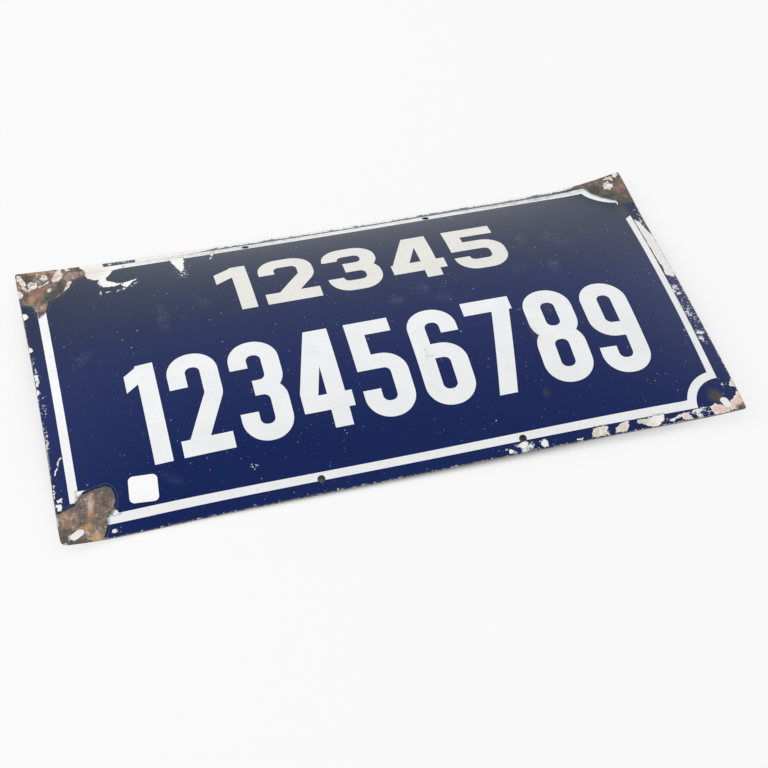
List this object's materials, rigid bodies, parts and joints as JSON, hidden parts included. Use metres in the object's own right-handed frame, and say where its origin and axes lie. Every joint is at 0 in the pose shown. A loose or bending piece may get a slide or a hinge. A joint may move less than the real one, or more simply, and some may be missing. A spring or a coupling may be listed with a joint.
{
  "type": "street name sign",
  "caption": "Old enamelled steel street name sign: a low domed rectangular plate with a raised white border line, screw holes and rusted corners.",
  "frame": {"origin": "bottom centre of the plate's box, on the surface that it lies on, face up", "axes": "+X along the length of the plate, towards the right end of its lettering; +Y up the lettering; +Z out of the enamelled face"},
  "size_m": [0.5472, 0.2998, 0.0335],
  "materials": {
    "enamelled_steel": "glossy vitreous enamel, deep blue, with white border and numerals, chipped to rusty steel at the corners",
    "label_paper": "matt white paper"
  },
  "bodies": {
    "root": {"sign_plate": "enamelled_steel", "paper_label": "label_paper"}
  },
  "joints": []
}
